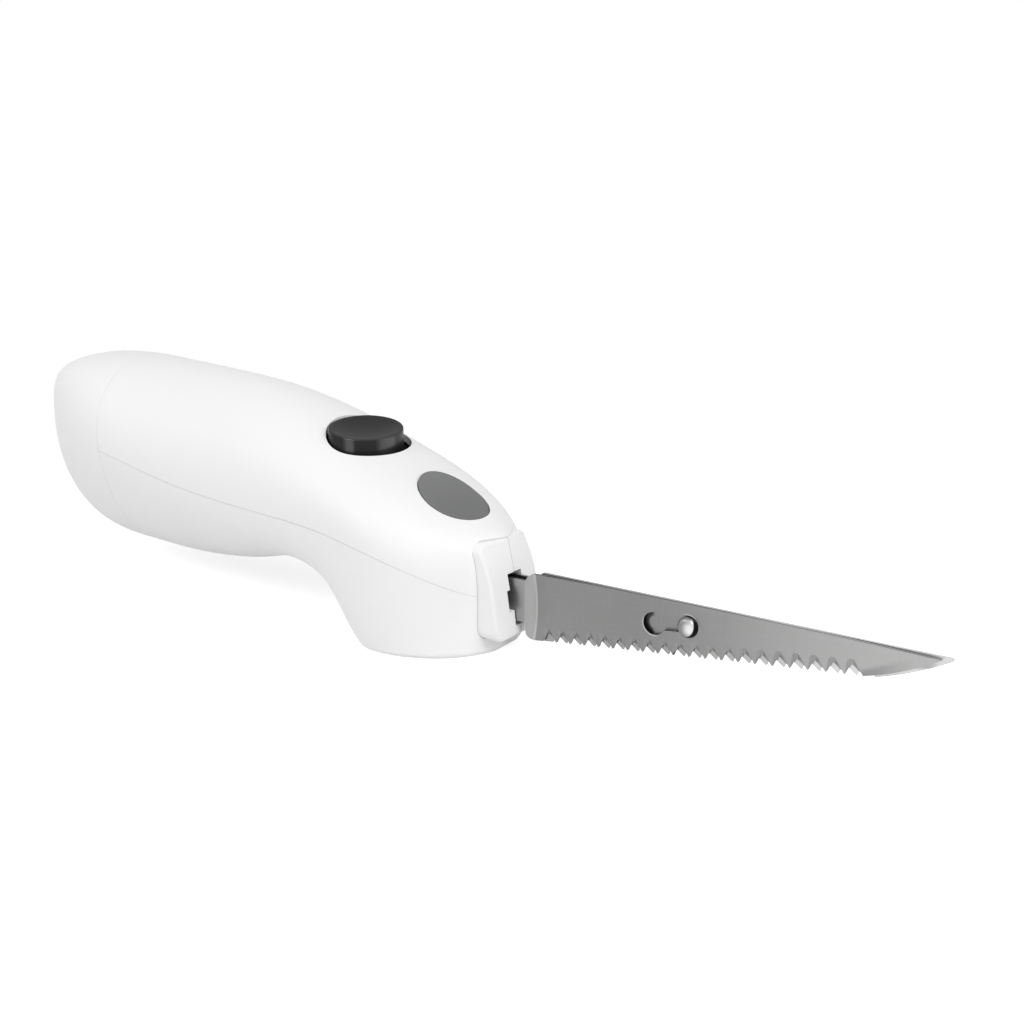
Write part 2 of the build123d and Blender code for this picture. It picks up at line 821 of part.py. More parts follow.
# Outline of the first gullet, from shares of the tooth pitch and of its height
def gullet_face(y, shares, rise):
    rear, rear_shoulder, top, front_shoulder, front = [
        along_teeth((share - 1) * tooth_pitch, up * rise) for share, up in shares
    ]
    rear_foot = along_teeth((shares[0][0] - 1) * tooth_pitch, -1.0)
    front_foot = along_teeth((shares[-1][0] - 1) * tooth_pitch, -1.0)
    with BuildSketch(Plane.XZ.offset(y)) as face:
        with BuildLine():
            Polyline(rear_foot, rear, rear_shoulder)
            ThreePointArc(rear_shoulder, top, front_shoulder)
            Polyline(front_shoulder, front, front_foot, rear_foot)
        make_face()
    return face.sketch


edge_shares = [(0.023, 0.0), (0.30, 0.84), (0.376, 1.0), (0.473, 0.91), (0.977, 0.0)]
hollow_shares = [(0.012, 0.0), (0.154, 0.707), (0.38, 1.0), (0.65, 0.812), (0.988, 0.0)]
edge_y = blade_inner_y + edge_thickness

with BuildPart() as gullet_hollow:
    loft(
        [
            gullet_face(edge_y, edge_shares, gullet_depth),
            gullet_face(blade_outer_y + blade_gap / 4, hollow_shares, hollow_height),
        ],
        ruled=True,
    )

with BuildPart() as gullet_notch:
    extrude(
        gullet_face(blade_inner_y, edge_shares, gullet_depth), amount=2 * blade_thickness, both=True
    )

gullets = [
    cut.part.moved(
        Location(
            (
                step * tooth_pitch * math.cos(tooth_rise),
                0,
                step * tooth_pitch * math.sin(tooth_rise),
            )
        )
    )
    for cut in (gullet_hollow, gullet_notch)
    for step in range(tooth_count)
]

with BuildPart() as blade_right:
    add(blade_blank(right_tip_reach, 0, spine_drop, spine_bow))
    add(gullets, mode=Mode.SUBTRACT)
    keyhole_run = math.hypot(keyhole_front_x - keyhole_rear_x, keyhole_front_z - keyhole_rear_z)
    keyhole_angle = math.degrees(
        math.atan2(keyhole_front_z - keyhole_rear_z, keyhole_front_x - keyhole_rear_x)
    )
    with BuildSketch(Plane.XZ):
        with Locations((keyhole_rear_x, keyhole_rear_z)):
            Circle(keyhole_rear_radius)
        with Locations((keyhole_front_x, keyhole_front_z)):
            Circle(keyhole_front_radius)
        with Locations(
            (
                (keyhole_rear_x + keyhole_front_x) / 2,
                (keyhole_rear_z + keyhole_front_z) / 2 + keyhole_waist_lift,
            )
        ):
            Rectangle(keyhole_run, keyhole_waist, rotation=keyhole_angle)
    extrude(amount=blade_outer_y + 1, mode=Mode.SUBTRACT)

with BuildPart() as blade_left:
    add(blade_blank(left_tip_reach, left_tip_round, 0, 0))
    add(gullets, mode=Mode.SUBTRACT)
    with BuildSketch(Plane.XZ):
        with Locations((stud_x, stud_z)):
            Circle(stud_shank / 2 + running_clearance)
    extrude(amount=blade_outer_y + 1, mode=Mode.SUBTRACT)

# Stud on the left blade that keeps the two blades together
stud_shoulder_y = -blade_outer_y - stud_clearance
with BuildPart() as blade_stud:
    for start_y, end_y, diameter in (
        (stud_shoulder_y, blade_outer_y, stud_shank),
        (blade_outer_y, blade_outer_y + stud_foot_height, stud_foot),
        (stud_shoulder_y, stud_shoulder_y - stud_head_height, stud_head),
    ):
        with BuildSketch(Plane.XZ.offset(-start_y)):
            with Locations((stud_x, stud_z)):
                Circle(diameter / 2)
        extrude(amount=start_y - end_y)
    rims = blade_stud.edges().filter_by(GeomType.CIRCLE).sort_by(Axis.Y)
    fillet(rims[0], stud_head_height * 0.85)
    fillet(rims[-1], stud_foot_height * 0.8)

# Driver on the right side: a yoke around the cam, an arm and a socket for the tang
slot_half_width = cam_radius + cam_slack
slot_half_height = cam_radius + eccentricity + driver_clearance
driver_half_length = slot_half_width + driver_web
driver_half_height = slot_half_height + driver_bar
driver_outer_y = driver_inner_y + driver_thickness

with BuildPart() as driver_blank:
    with BuildSketch(Plane.XZ.offset(driver_inner_y)):
        with Locations((wheel_x, drive_z)):
            Rectangle(2 * driver_half_length, 2 * driver_half_height)
            Rectangle(2 * slot_half_width, 2 * slot_half_height, mode=Mode.SUBTRACT)
        arm_rear_x = wheel_x + driver_half_length - driver_web / 2
        with Locations(((arm_rear_x + socket_front_x) / 2, (driver_arm_top_z + socket_bottom_z) / 2)):
            Rectangle(socket_front_x - arm_rear_x, driver_arm_top_z - socket_bottom_z)
    extrude(amount=driver_thickness)
    with BuildSketch(Plane.XZ.offset(socket_inner_y)):
        with BuildLine():
            Polyline(
                (socket_rear_x, socket_bottom_z),
                (socket_front_x, socket_bottom_z),
                (socket_front_x, socket_top_z),
                (socket_step_x, socket_top_z),
                (socket_step_x, driver_arm_top_z),
                (socket_rear_x, driver_arm_top_z),
                close=True,
            )
        make_face()
    extrude(amount=driver_outer_y - socket_inner_y)
    with BuildSketch(Plane.XZ.offset(ear_inner_y)):
        with BuildLine():
            Polyline(
                (catch_pivot_x - ear_length / 2, driver_arm_top_z - 1),
                (catch_pivot_x + ear_length / 2, driver_arm_top_z - 1),
                (catch_pivot_x + ear_length / 2, ear_top_z),
                (catch_pivot_x - ear_length / 2, ear_top_z),
                close=True,
            )
        make_face()
    extrude(amount=driver_outer_y - ear_inner_y)
    with BuildSketch(Plane.XZ.offset(tang_inner_y)):
        with Locations((catch_pivot_x, catch_pivot_z)):
            Circle(catch_pin_diameter / 2)
    extrude(amount=ear_inner_y - tang_inner_y)
    with BuildSketch(Plane.XZ.offset(tang_inner_y - tang_clearance)):
        with Locations((tang_end_x - tang_clearance + handle_width / 2, drive_z)):
            Rectangle(handle_width, tang_height + 2 * tang_clearance)
    extrude(amount=blade_thickness + 2 * tang_clearance, mode=Mode.SUBTRACT)
    with BuildSketch(Plane.XZ.offset(tang_inner_y - catch_gap)):
        hook_rear_x = catch_hook_x - catch_hook_length / 2 - catch_gap
        with Locations((hook_rear_x + wall, socket_top_z)):
            Rectangle(2 * wall, 2 * socket_wall)
    extrude(amount=catch_inner_y - tang_inner_y + 2 * catch_gap, mode=Mode.SUBTRACT)

# Catch on the right side: a lever whose hook drops into the notch of the tang
catch_tip_z = tang_top_z - catch_bite
catch_nose_x = catch_hook_x + catch_hook_length / 2

with BuildPart() as catch_blank:
    with BuildSketch(Plane.XZ.offset(catch_inner_y)):
        with Locations(((catch_arm_end_x + catch_nose_x) / 2, catch_pivot_z)):
            Rectangle(catch_nose_x - catch_arm_end_x, catch_height)
        with Locations((catch_pivot_x, catch_pivot_z)):
            Circle(ear_length / 2)
    extrude(amount=catch_outer_y - catch_inner_y)
    with BuildSketch(Plane.XZ.offset(tang_inner_y)):
        with Locations(((catch_front_x + catch_nose_x) / 2, catch_pivot_z)):
            Rectangle(catch_nose_x - catch_front_x, catch_height)
    extrude(amount=catch_inner_y - tang_inner_y)
    with BuildSketch(Plane.XZ.offset(tang_inner_y)):
        with Locations((catch_hook_x, (catch_tip_z + catch_pivot_z) / 2)):
            Rectangle(catch_hook_length, catch_pivot_z - catch_tip_z)
    extrude(amount=blade_thickness)
    with BuildSketch(Plane.XZ):
        with Locations((catch_pivot_x, catch_pivot_z)):
            Circle(catch_pin_diameter / 2 + running_clearance)
    extrude(amount=driver_outer_y, mode=Mode.SUBTRACT)

# The right set stands back by the rest lead and the left set, mirrored, forward
to_right = Location((-rest_lead, 0, 0))
to_left = Location((rest_lead, 0, 0))
for name, piece in (
    ("blade_right", blade_right.part),
    ("driver_right", driver_blank.part),
    ("catch_right", catch_blank.part),
):
    with BuildPart() as placed:
        add(piece.moved(to_right))
    save(placed, name)
for name, piece in (
    ("blade_left", blade_left.part.mirror(Plane.XZ)),
    ("blade_stud", blade_stud.part),
    ("driver_left", driver_blank.part.mirror(Plane.XZ)),
    ("catch_left", catch_blank.part.mirror(Plane.XZ)),
):
    with BuildPart() as placed:
        add(piece.moved(to_left))
    save(placed, name)

# Worm wheel with a round cam on each side, half a turn apart
pitch_radius = gear_module * wheel_teeth / 2
wheel_tip_radius = pitch_radius + wheel_addendum
wheel_root_radius = wheel_tip_radius - tooth_height
worm_z = drive_z + pitch_radius + worm_pitch_radius
cam_drop = math.sqrt(eccentricity**2 - rest_lead**2)
flank_angle = math.degrees(math.atan2(tooth_height, (tooth_root_width - tooth_tip_width) / 2))

with BuildPart() as worm_wheel:
    with BuildSketch(Plane.XZ.offset(-wheel_width / 2)):
        with Locations((wheel_x, drive_z)):
            Circle(wheel_root_radius)
            with PolarLocations(wheel_root_radius, wheel_teeth, start_angle=90):
                Trapezoid(
                    tooth_root_width,
                    tooth_height,
                    flank_angle,
                    rotation=-90,
                    align=(Align.CENTER, Align.MIN),
                )
            with PolarLocations(wheel_root_radius - gear_module / 2, wheel_teeth, start_angle=90):
                Rectangle(gear_module, tooth_root_width)
    extrude(amount=wheel_width)
    with BuildSketch(Plane.XZ.offset(wheel_width / 2)):
        with Locations((wheel_x - rest_lead, drive_z + cam_drop)):
            Circle(cam_radius)
    extrude(amount=cam_reach - wheel_width / 2)
    with BuildSketch(Plane.XZ.offset(-wheel_width / 2)):
        with Locations((wheel_x + rest_lead, drive_z - cam_drop)):
            Circle(cam_radius)
    extrude(amount=wheel_width / 2 - cam_reach)
    with BuildSketch(Plane.XZ.offset(-cam_reach - 1)):
        with Locations((wheel_x, drive_z)):
            Circle(axle_diameter / 2 + running_clearance)
    extrude(amount=2 * cam_reach + 2, mode=Mode.SUBTRACT)

save(worm_wheel, "worm_wheel")

frame_outer_y = frame_inner_y + frame_plate
with BuildPart() as wheel_axle:
    with BuildSketch(Plane.XZ.offset(-frame_outer_y)):
        with Locations((wheel_x, drive_z)):
            Circle(axle_diameter / 2)
    extrude(amount=2 * frame_outer_y)

save(wheel_axle, "wheel_axle")

# Motor shaft with the worm, a single thread wound as an off-centre round
motor_front_x = frame_rear_x - bulkhead_thickness
worm_lead = math.pi * gear_module
worm_start_x = wheel_x - worm_length / 2
turns_to_middle = worm_length / 2 / worm_lead
start_turn = 90 - 360 * turns_to_middle
worm_section = Plane(
    origin=(worm_start_x, 0, worm_z), x_dir=(0, 1, 0), z_dir=(1, 0, 0)
)
start_spot = (
    worm_thread_depth * math.cos(math.radians(start_turn)),
    worm_thread_depth * math.sin(math.radians(start_turn)),
)
with BuildSketch(worm_section) as thread_sketch:
    with Locations(start_spot):
        Circle(worm_core_radius)
worm_thread = Solid.extrude_linear_with_rotation(
    thread_sketch.sketch.faces()[0],
    worm_section.origin,
    Vector(worm_length, 0, 0),
    360 * worm_length / worm_lead,
)
with BuildPart() as worm_shaft:
    with BuildSketch(Plane.YZ.offset(motor_front_x - motor_bore_depth + seat_clearance)):
        with Locations((0, worm_z)):
            Circle(shaft_diameter / 2)
    extrude(amount=frame_front_x + seat_clearance - motor_front_x + motor_bore_depth - seat_clearance)
    add(worm_thread)

save(worm_shaft, "worm_shaft")

# Gear frame: side plates, base, guides for the drivers, bush plate, bulkhead and switch shelf
base_bottom_z = foot_thickness + floor_clearance
base_top_z = drive_z - driver_half_height - driver_clearance
guide_bottom_z = drive_z + driver_half_height + driver_clearance
frame_waist_x = frame_rear_x + frame_heel_cut
plate_depth = switch_skirt + switch_plate + slide_clearance


# Height of the rails under the thumb switch's plate
def rail_top(x):
    below_x = switch_x - plate_depth * math.sin(tilt)
    below_z = switch_z - plate_depth * math.cos(tilt)
    return below_z - (x - below_x) * math.tan(tilt)


with BuildPart() as gear_frame:
    with BuildSketch(Plane.XZ.offset(-frame_outer_y)):
        with BuildLine():
            Polyline(
                (frame_waist_x, base_bottom_z),
                (frame_front_x, base_bottom_z),
                (frame_front_x, frame_shoulder_z),
                (release_leg_x, frame_top_z),
                (frame_rear_x, frame_top_z),
                (frame_rear_x, frame_heel_z),
                close=True,
            )
        make_face()
    extrude(amount=2 * frame_outer_y)
    with BuildSketch(Plane.XZ.offset(-frame_inner_y)):
        with Locations((0, base_top_z + crown_height / 2)):
            Rectangle(crown_height, crown_height)
    extrude(amount=2 * frame_inner_y, mode=Mode.SUBTRACT)
    with BuildSketch(Plane.XY.offset(drive_z - wheel_tip_radius - 2 * driver_clearance)):
        with Locations((wheel_x, 0)):
            Rectangle(wheel_width * 2, wheel_width + 4 * driver_clearance)
    extrude(amount=drive_z, mode=Mode.SUBTRACT)
    guide_front_x = frame_front_x - ear_length * 3
    for side in (-1, 1):
        guide_length = guide_front_x - frame_rear_x
        guide_middle_x = (guide_front_x + frame_rear_x) / 2
        with BuildSketch(Plane.XY.offset(guide_bottom_z)):
            with Locations((guide_middle_x, side * (frame_inner_y - rail_width / 2))):
                Rectangle(guide_length, rail_width)
        extrude(amount=rail_height)
        foot_guide = frame_inner_y - driver_outer_y - slide_clearance
        with BuildSketch(Plane.XY.offset(base_top_z)):
            with Locations(((frame_waist_x + frame_front_x) / 2, side * (frame_inner_y - foot_guide / 2))):
                Rectangle(frame_front_x - frame_waist_x, foot_guide)
        extrude(amount=rail_height)
        seat_width = frame_inner_y - release_spring_y + release_spring_diameter / 2
        with BuildSketch(Plane.XY.offset(frame_top_z - spring_seat_thickness)):
            with Locations((release_spring_x, side * (frame_inner_y - seat_width / 2))):
                Rectangle(spring_seat_width, seat_width)
        extrude(amount=spring_seat_thickness)
    bush_rear_x = frame_front_x - bush_length
    with BuildSketch(Plane.YZ.offset(bush_rear_x)):
        with Locations((0, (bush_plate_bottom_z + frame_shoulder_z) / 2)):
            Rectangle(2 * frame_inner_y, frame_shoulder_z - bush_plate_bottom_z)
        with Locations((0, (bush_plate_bottom_z + bush_plate_top_z) / 2)):
            Rectangle(bush_plate_width, bush_plate_top_z - bush_plate_bottom_z)
        with Locations((0, worm_z)):
            Circle(bush_diameter / 2, mode=Mode.SUBTRACT)
    extrude(amount=bush_length)
    add(bulkhead(motor_front_x, frame_rear_x, wall + frame_fit))
    with BuildSketch(Plane.XY.offset(shelf_top_z)):
        with Locations((frame_rear_x, 0)):
            Rectangle(4 * bulkhead_thickness, handle_width)
    extrude(amount=crown_height, mode=Mode.SUBTRACT)
    with BuildSketch(Plane.YZ.offset(motor_front_x)):
        with Locations((0, worm_z)):
            Circle(motor_boss_diameter / 2 + seat_clearance)
    extrude(amount=bulkhead_thickness, mode=Mode.SUBTRACT)
    with BuildSketch(Plane.XY.offset(shelf_top_z)):
        with Locations((frame_rear_x - shelf_length / 2, 0)):
            Rectangle(shelf_length, shelf_width)
    extrude(amount=-shelf_thickness)
    rail_front_x = motor_front_x - wall
    rail_rear_x = rail_front_x - switch_rail_length
    for side in (-1, 1):
        rail_start_y = side * switch_rail_y - switch_rail_thickness / 2
        with BuildSketch(Plane.XZ.offset(rail_start_y)):
            with BuildLine():
                Polyline(
                    (rail_rear_x, shelf_top_z - shelf_thickness / 2),
                    (rail_front_x, shelf_top_z - shelf_thickness / 2),
                    (rail_front_x, rail_top(rail_front_x)),
                    (rail_rear_x, rail_top(rail_rear_x)),
                    close=True,
                )
            make_face()
        extrude(amount=switch_rail_thickness)
    with BuildSketch(Plane.XZ.offset(-frame_outer_y - 1)):
        with Locations((wheel_x, drive_z)):
            Circle(axle_diameter / 2)
    extrude(amount=2 * frame_outer_y + 2, mode=Mode.SUBTRACT)

save(gear_frame, "gear_frame")

with BuildPart() as worm_bush:
    with BuildSketch(Plane.YZ.offset(bush_rear_x)):
        with Locations((0, worm_z)):
            Circle(bush_diameter / 2)
            Circle(shaft_diameter / 2 + running_clearance, mode=Mode.SUBTRACT)
    extrude(amount=bush_length)

save(worm_bush, "worm_bush")

# Motor with flattened sides, its boss and its rear cap with two terminals
with BuildPart() as motor_can:
    with BuildSketch(Plane.YZ.offset(motor_front_x)):
        with Locations((0, worm_z)):
            Circle(motor_diameter / 2)
            Rectangle(motor_diameter, motor_height, mode=Mode.INTERSECT)
    extrude(amount=-motor_length)
    with BuildSketch(Plane.YZ.offset(motor_front_x)):
        with Locations((0, worm_z)):
            Circle(motor_boss_diameter / 2)
    extrude(amount=bulkhead_thickness - seat_clearance)
    with BuildSketch(Plane.YZ.offset(motor_front_x - motor_bore_depth)):
        with Locations((0, worm_z)):
            Circle(shaft_diameter / 2 + running_clearance)
    extrude(amount=motor_bore_depth + bulkhead_thickness, mode=Mode.SUBTRACT)

save(motor_can, "motor_can")

motor_rear_x = motor_front_x - motor_length
with BuildPart() as motor_end_cap:
    with BuildSketch(Plane.YZ.offset(motor_rear_x)):
        with Locations((0, worm_z)):
            Circle(motor_diameter / 2 - motor_cap_step)
            Rectangle(motor_diameter, motor_height - 2 * motor_cap_step, mode=Mode.INTERSECT)
    extrude(amount=-motor_cap_length)
    with BuildSketch(Plane.YZ.offset(motor_rear_x - motor_cap_length)):
        with Locations((-terminal_offset, worm_z), (terminal_offset, worm_z)):
            Rectangle(terminal_thickness, terminal_width)
    extrude(amount=-terminal_length)

save(motor_end_cap, "motor_end_cap")

# Micro switch on the shelf, with its plunger facing the tab of the thumb switch
plunger_z = shelf_top_z + micro_switch_height / 2
with BuildPart() as micro_switch:
    with BuildSketch(Plane.XY.offset(shelf_top_z)):
        with Locations((motor_front_x - micro_switch_length / 2, 0)):
            Rectangle(micro_switch_length, micro_switch_width)
    extrude(amount=micro_switch_height)
    with BuildSketch(Plane.YZ.offset(motor_front_x - micro_switch_length)):
        with Locations((0, plunger_z)):
            Circle(plunger_diameter / 2)
    extrude(amount=-plunger_length)

save(micro_switch, "micro_switch")

# Battery: three sticks of two cells between two plates that are tied by a rod
battery_rear_x = battery_front_x - 2 * battery_plate - 2 * cell_length - 3 * cell_slack
triangle_drop = cell_spacing / (2 * math.sqrt(3))
cell_places = [
    (-cell_spacing / 2, battery_centre_z - triangle_drop),
    (cell_spacing / 2, battery_centre_z - triangle_drop),
    (0, battery_centre_z + 2 * triangle_drop),
]
with BuildPart() as battery_cells:
    for step in range(2):
        cell_front_x = battery_front_x - battery_plate - cell_slack - step * (cell_length + cell_slack)
        with BuildSketch(Plane.YZ.offset(cell_front_x)):
            with Locations(*cell_places):
                Circle(cell_diameter / 2)
        extrude(amount=-cell_length)

save(battery_cells, "battery_cells")

with BuildPart() as battery_tray:
    add(bulkhead(battery_front_x - battery_plate, battery_front_x, wall + frame_fit))
    add(bulkhead(battery_rear_x, battery_rear_x + battery_plate, wall + frame_fit))
    with BuildSketch(Plane.YZ.offset(battery_rear_x)):
        with Locations((0, battery_centre_z)):
            Circle(tie_rod_diameter / 2)
    extrude(amount=battery_front_x - battery_rear_x)
    standoff_y = board_width / 2 - standoff_diameter
    standoff_z = board_height / 2 - standoff_diameter
    with BuildSketch(Plane.YZ.offset(battery_rear_x)):
        with Locations((0, battery_centre_z)):
            with GridLocations(2 * standoff_y, 2 * standoff_z, 2, 2):
                Circle(standoff_diameter / 2)
    extrude(amount=-standoff_length)

save(battery_tray, "battery_tray")

# Charging board on the rear plate, with a few parts on its back
board_front_x = battery_rear_x - standoff_length
with BuildPart() as circuit_board:
    with BuildSketch(Plane.YZ.offset(board_front_x)):
        with Locations((0, battery_centre_z)):
            Rectangle(board_width, board_height)
    extrude(amount=-board_thickness)
    with BuildSketch(Plane.YZ.offset(board_front_x - board_thickness)):
        with Locations((-board_width / 4, battery_centre_z + board_height / 5)):
            Rectangle(chip_size, chip_size)
        with Locations((board_width / 5, battery_centre_z + board_height / 5)):
            Circle(chip_height)
        with Locations((0, battery_centre_z - board_height / 4)):
            Rectangle(chip_size * 2, chip_height)
    extrude(amount=-chip_height)

save(circuit_board, "circuit_board")

# Round charging inlet in the end of the cap
with BuildPart() as charge_jack:
    with BuildSketch(Plane.YZ.offset(tail_end_x + seat_clearance)):
        with Locations((0, jack_z)):
            Circle(jack_diameter / 2)
    extrude(amount=jack_length)
    with BuildSketch(Plane.YZ.offset(cavity_tail_x + floor_clearance)):
        with Locations((0, jack_z)):
            Circle(jack_flange / 2)
    extrude(amount=jack_flange_thickness)
    with BuildSketch(Plane.YZ.offset(tail_end_x)):
        with Locations((0, jack_z)):
            Circle(jack_bore / 2)
            Circle(jack_pin / 2, mode=Mode.SUBTRACT)
    extrude(amount=jack_bore_depth, mode=Mode.SUBTRACT)
    with BuildSketch(Plane.YZ.offset(tail_end_x)):
        with Locations((0, jack_z)):
            Circle(jack_pin)
    extrude(amount=tail_wall / 2, mode=Mode.SUBTRACT)

save(charge_jack, "charge_jack")

# Screws that join the shells, with crossed recesses
with BuildPart() as housing_screws:
    for x, y, split_z in posts:
        seat_z = split_z - screw_seat_depth
        with BuildSketch(Plane.XY.offset(seat_z)):
            with Locations((x, y)):
                Circle(screw_head_diameter / 2)
        extrude(amount=-screw_head_height)
        with BuildSketch(Plane.XY.offset(seat_z)):
            with Locations((x, y)):
                Circle(screw_diameter / 2)
        extrude(amount=screw_seat_depth + screw_reach)
        with BuildSketch(Plane.XY.offset(seat_z - screw_head_height)):
            with Locations((x, y)):
                Rectangle(screw_diameter, screw_diameter / 4)
                Rectangle(screw_diameter / 4, screw_diameter)
        extrude(amount=screw_head_height / 2, mode=Mode.SUBTRACT)

save(housing_screws, "housing_screws")
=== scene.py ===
import math

import bpy
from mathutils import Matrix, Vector


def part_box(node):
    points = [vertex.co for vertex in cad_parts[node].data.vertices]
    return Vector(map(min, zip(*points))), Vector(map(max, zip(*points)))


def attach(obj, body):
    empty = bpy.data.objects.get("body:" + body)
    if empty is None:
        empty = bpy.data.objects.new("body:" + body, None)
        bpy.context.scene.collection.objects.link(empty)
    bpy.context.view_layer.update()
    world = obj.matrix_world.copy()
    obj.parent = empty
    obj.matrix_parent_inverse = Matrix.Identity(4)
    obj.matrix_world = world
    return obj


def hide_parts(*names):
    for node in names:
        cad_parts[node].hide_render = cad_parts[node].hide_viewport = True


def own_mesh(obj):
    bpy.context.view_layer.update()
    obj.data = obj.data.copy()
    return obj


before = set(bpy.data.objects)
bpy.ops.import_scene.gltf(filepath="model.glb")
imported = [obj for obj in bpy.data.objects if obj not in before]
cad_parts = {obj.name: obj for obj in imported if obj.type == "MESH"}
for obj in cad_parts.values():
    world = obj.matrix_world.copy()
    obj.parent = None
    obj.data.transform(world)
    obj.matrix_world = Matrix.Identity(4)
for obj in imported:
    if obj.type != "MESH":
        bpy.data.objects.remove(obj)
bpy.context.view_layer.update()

# Sizes in metres, in the same frame as the solids: X forward along the blades, Z up, foot on zero
mm = 0.001
switch_front_x = -36.0 * mm
switch_half_width = 14.0 * mm
release_rear_x = -16.0 * mm
release_front_x = 6.0 * mm

# Places along a blade, from the end of its tang
# Painted shade on the tang where it runs into the nose's slot, fading out between these two places
slot_shade_start = 17.5 * mm
slot_shade_end = 21.5 * mm
joggle_end = 26.9 * mm
joggle_curve = 1.1 * mm
heel_end = 28.8 * mm
first_tooth = 35.0 * mm
# Painted reflection: the blade steel grows lighter between these two places
painted_sheen_start = 62.0 * mm
painted_sheen_end = 150.0 * mm
# Painted shade in the hollows of the teeth grows between these two places
hollow_painted_shade_start = 80.0 * mm
hollow_painted_shade_end = 118.0 * mm
point_start = 131.5 * mm
point_end = 148.0 * mm

# Heights on a blade: above the foot, and above the line of its tooth tips
first_tooth_z = 6.0 * mm
blade_middle_z = 16.5 * mm
blade_half_height = 11.5 * mm
hollow_height = 6.0 * mm
bevel_height = 2.4 * mm
tooth_slope = math.tan(math.radians(7.1))
point_slope = 0.35

# How light the blade steel is at its heel, and the painted light that its point, its tang and the
# joggle's edge add: a painted reflection lighter towards the point, a lighter tang and a painted
# highlight along the joggle's edge
heel_grey = 0.245
painted_point_sheen = 0.195
painted_tang_light = 0.12
painted_edge_glint = 0.08

# Middle and radius of the keyhole's two lobes, and how far the left blade lies ahead of the right one
keyhole_rear = (69.5 * mm, 19.8 * mm, 3.6 * mm)
keyhole_front = (80.5 * mm, 21.2 * mm, 3.5 * mm)
blade_offset = 3.0 * mm

# Release springs and charging inlet
spring_foot_z = 38.0 * mm
spring_height = 5.0 * mm
spring_radius = 2.2 * mm
spring_wire = 0.3 * mm
spring_turns = 5.5
spring_closed_turns = 0.8
spring_places = ((-5.0 * mm, -8.5 * mm), (-5.0 * mm, 8.5 * mm))
inlet_pin_radius = 1.0 * mm

# Floor, lamps and camera
floor_reach = 4.0
floor_drop = 0.2 * mm
shadow_reach = 0.28
white_reach = 0.42
softbox_aim = (-0.04, 0.0, 0.04)
softbox_size = (0.6, 0.5)
camera_place = (0.2204, -0.2885, 0.1400)
camera_turn = (math.radians(75.0), 0.0, math.radians(34.5))
camera_lens_mm = 39.87
camera_sensor_mm = 36.0


class Signal:
    """A socket of a finish's node tree. Arithmetic on it adds Math nodes."""

    def __init__(self, tree, socket=None):
        self.tree = tree
        self.socket = socket

    def node(self, kind, settings=None, sockets=None, out=0):
        made = self.tree.nodes.new(kind)
        for name, setting in (settings or {}).items():
            setattr(made, name, setting)
        for name, given in (sockets or {}).items():
            if isinstance(given, Signal):
                self.tree.links.new(given.socket, made.inputs[name])
            else:
                made.inputs[name].default_value = given
        return Signal(self.tree, made.outputs[out])

    def sum_of(self, operation, first, second):
        return self.node("ShaderNodeMath", {"operation": operation}, {0: first, 1: second})

    def __add__(self, other):
        return self.sum_of("ADD", self, other)

    def __radd__(self, other):
        return self.sum_of("ADD", other, self)

    def __sub__(self, other):
        return self.sum_of("SUBTRACT", self, other)

    def __rsub__(self, other):
        return self.sum_of("SUBTRACT", other, self)

    def __mul__(self, other):
        return self.sum_of("MULTIPLY", self, other)

    def __rmul__(self, other):
        return self.sum_of("MULTIPLY", other, self)

    def most(self, other):
        return self.sum_of("MAXIMUM", self, other)

    def size(self):
        return self.node("ShaderNodeMath", {"operation": "ABSOLUTE"}, {0: self})

    def smooth(self, low, high):
        """0 below low, 1 above high, with a soft step between."""
        return self.node(
            "ShaderNodeMapRange",
            {"interpolation_type": "SMOOTHSTEP"},
            {"Value": self, "From Min": low, "From Max": high},
        )

    def tint(self, first, second):
        """The first colour where this is 0, the second where it is 1."""
        return self.node(
            "ShaderNodeMix",
            {"data_type": "RGBA"},
            {0: self, 6: first, 7: second},
            out=2,
        )

    def parts(self):
        """The X, Y and Z of a vector."""
        split = self.node("ShaderNodeSeparateXYZ", None, {0: self}).socket.node
        return tuple(Signal(self.tree, split.outputs[axis]) for axis in "XYZ")

    def noise(self, scale, detail, roughness=0.5, stretch=(1.0, 1.0, 1.0)):
        """Cloudy values from 0 to 1 over a place, with its axes stretched."""
        spread = self.node(
            "ShaderNodeVectorMath", {"operation": "MULTIPLY"}, {0: self, 1: stretch}
        )
        return self.node(
            "ShaderNodeTexNoise",
            None,
            {"Vector": spread, "Scale": scale, "Detail": detail, "Roughness": roughness},
        )


class Finish:
    """A material of the knife, with its place on the object and its shader."""

    def __init__(self, name):
        self.material = bpy.data.materials.new(name)
        self.material.use_nodes = True
        tree = self.material.node_tree
        self.shader = tree.nodes["Principled BSDF"]
        self.place = Signal(tree).node("ShaderNodeTexCoord", out="Object")
        self.x, self.y, self.z = self.place.parts()

    def facing(self):
        """The three parts of the surface's own direction."""
        return self.place.node("ShaderNodeNewGeometry", out="Normal").parts()

    def away_from(self, x, z):
        """Distance from a line across the knife, through x and z."""
        return self.place.node(
            "ShaderNodeVectorMath",
            {"operation": "LENGTH"},
            {0: self.place.node("ShaderNodeCombineXYZ", None, {0: self.x - x, 2: self.z - z})},
            out="Value",
        )

    def set(self, **sockets):
        """Sockets of the shader by name, with _ for a space."""
        for name, given in sockets.items():
            socket = self.shader.inputs[name.replace("_", " ")]
            if isinstance(given, Signal):
                given.tree.links.new(given.socket, socket)
            elif socket.type == "RGBA":
                socket.default_value = (*given, 1.0)
            else:
                socket.default_value = given
        return self

    def bump(self, height, depth, strength):
        """Raises the surface by height, whose full value stands for depth in metres."""
        normal = height.node(
            "ShaderNodeBump", None, {"Height": height, "Distance": depth, "Strength": strength}
        )
        return self.set(Normal=normal)

    def dress(self, *names):
        for name in names:
            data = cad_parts[name].data
            data.materials.clear()
            data.materials.append(self.material)


def pair(first, second):
    return (*first, 1.0), (*second, 1.0)


